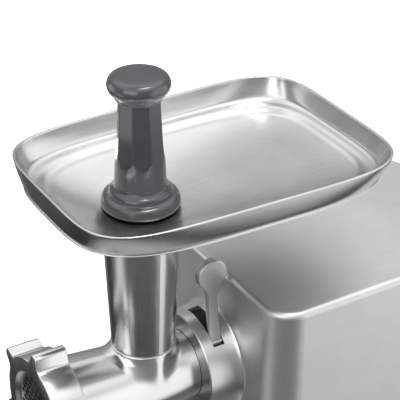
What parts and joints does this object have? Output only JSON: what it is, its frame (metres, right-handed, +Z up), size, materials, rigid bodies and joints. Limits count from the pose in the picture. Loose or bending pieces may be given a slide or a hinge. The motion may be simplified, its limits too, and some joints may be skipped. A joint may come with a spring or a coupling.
{
  "type": "electric meat grinder",
  "caption": "Electric meat grinder: brushed box housing with motor and gears, locked-on barrel head with auger and perforated plate, feed tube, tray and pusher.",
  "frame": {"origin": "on the table, under the middle of the machine", "axes": "+Z up, -Y towards the ring nut at the front, +X the machine's right"},
  "size_m": [0.1892, 0.4, 0.4294],
  "materials": {
    "brushed_stainless": "fine brushing, satin",
    "tray_stainless": "soft brushed, bright",
    "polished_casting": "polished cast metal",
    "satin_casting": "satin",
    "lever_metal": "satin grey",
    "tool_steel": "ground",
    "grey_plastic": "glossy slate grey",
    "black_plastic": "fine matte texture",
    "black_rubber": "matte",
    "zinc_steel": "zinc plated",
    "cast_grey": "as cast",
    "gear_steel": "machined, oiled",
    "bronze": "sintered",
    "lamination_steel": "varnished laminations",
    "copper": "enamelled copper",
    "carbon": "graphite",
    "board_green": "solder mask",
    "green_button": "semi-gloss",
    "dark_button": "semi-gloss"
  },
  "bodies": {
    "housing": {"housing_shell": "brushed_stainless", "base_plate": "black_plastic", "rubber_feet": "black_rubber", "foot_screws": "zinc_steel", "foot_nuts": "zinc_steel", "gear_case": "cast_grey", "gear_case_cover": "cast_grey", "gear_case_screws": "zinc_steel", "collar_screws": "zinc_steel", "output_front_bush": "bronze", "output_rear_bush": "bronze", "layshaft_bushes": "bronze", "motor_front_bracket": "cast_grey", "motor_rear_bracket": "cast_grey", "stator_core": "lamination_steel", "field_coils": "copper", "motor_bearings": "bronze", "motor_bolts": "zinc_steel", "motor_cradle": "black_plastic", "cradle_screws": "zinc_steel", "brush_holders": "bronze", "carbon_brushes": "carbon", "control_panel": "black_plastic", "control_board": "board_green", "button_switches": "black_plastic", "power_inlet": "black_plastic", "inlet_pins": "zinc_steel", "rear_grille": "black_plastic", "front_collar": "satin_casting", "lock_ring_spacer": "black_plastic"},
    "lock_ring": {"lock_ring": "tool_steel", "lock_lever": "lever_metal"},
    "head": {"head_casting": "polished_casting", "plate_key": "tool_steel", "perforated_plate": "tool_steel"},
    "ring_nut": {"ring_nut": "polished_casting"},
    "auger": {"auger": "satin_casting", "auger_washer": "black_plastic", "cutting_knife": "tool_steel"},
    "tray": {"tray": "tray_stainless"},
    "pusher": {"pusher": "grey_plastic"},
    "output_drive": {"drive_socket": "gear_steel", "output_gear": "gear_steel"},
    "layshaft": {"layshaft": "gear_steel", "layshaft_pinion": "gear_steel", "layshaft_wheel": "gear_steel"},
    "rotor": {"rotor_shaft": "gear_steel", "motor_pinion": "gear_steel", "armature": "lamination_steel", "armature_windings": "copper", "commutator": "copper", "cooling_fan": "black_plastic"},
    "start_button": {"start_button": "green_button"},
    "reverse_button": {"reverse_button": "dark_button"}
  },
  "joints": [
    {"name": "lever_turn", "type": "hinge", "parent": "housing", "child": "lock_ring", "pos_m": [0, -0.05, 0.16], "axis": [0, -1, 0], "range_deg": [0, 26]},
    {"name": "head_slide", "type": "slide", "parent": "housing", "child": "head", "axis": [0, -1, 0], "range_m": [0, 0.09]},
    {"name": "nut_turn", "type": "hinge", "parent": "head", "child": "ring_nut", "pos_m": [0, -0.187, 0.16], "axis": [0, -1, 0], "range_deg": [0, 330]},
    {"name": "tray_lift", "type": "slide", "parent": "head", "child": "tray", "axis": [0, 0, 1], "range_m": [0, 0.06]},
    {"name": "pusher_lift", "type": "slide", "parent": "tray", "child": "pusher", "axis": [0, 0, 1], "range_m": [0, 0.12]},
    {"name": "output_spin", "type": "hinge", "parent": "housing", "child": "output_drive", "pos_m": [0, -0.01, 0.16], "axis": [0, -1, 0], "continuous": true},
    {"name": "auger_spin", "type": "hinge", "parent": "head", "child": "auger", "pos_m": [0, -0.12, 0.16], "axis": [0, -1, 0], "continuous": true},
    {"name": "layshaft_spin", "type": "hinge", "parent": "housing", "child": "layshaft", "pos_m": [0, 0, 0.09], "axis": [0, -1, 0], "continuous": true},
    {"name": "rotor_spin", "type": "hinge", "parent": "housing", "child": "rotor", "pos_m": [0, 0.08, 0.135], "axis": [0, -1, 0], "continuous": true},
    {"name": "start_press", "type": "slide", "parent": "housing", "child": "start_button", "axis": [-1, 0, 0], "range_m": [0, 0.0025], "stiffness_N_per_m": 600},
    {"name": "reverse_press", "type": "slide", "parent": "housing", "child": "reverse_button", "axis": [-1, 0, 0], "range_m": [0, 0.0025], "stiffness_N_per_m": 600}
  ],
  "couplings": [
    {"joint": "auger_spin", "follows": "output_spin", "ratio": 1},
    {"joint": "layshaft_spin", "follows": "output_spin", "ratio": -4},
    {"joint": "rotor_spin", "follows": "output_spin", "ratio": 20}
  ]
}
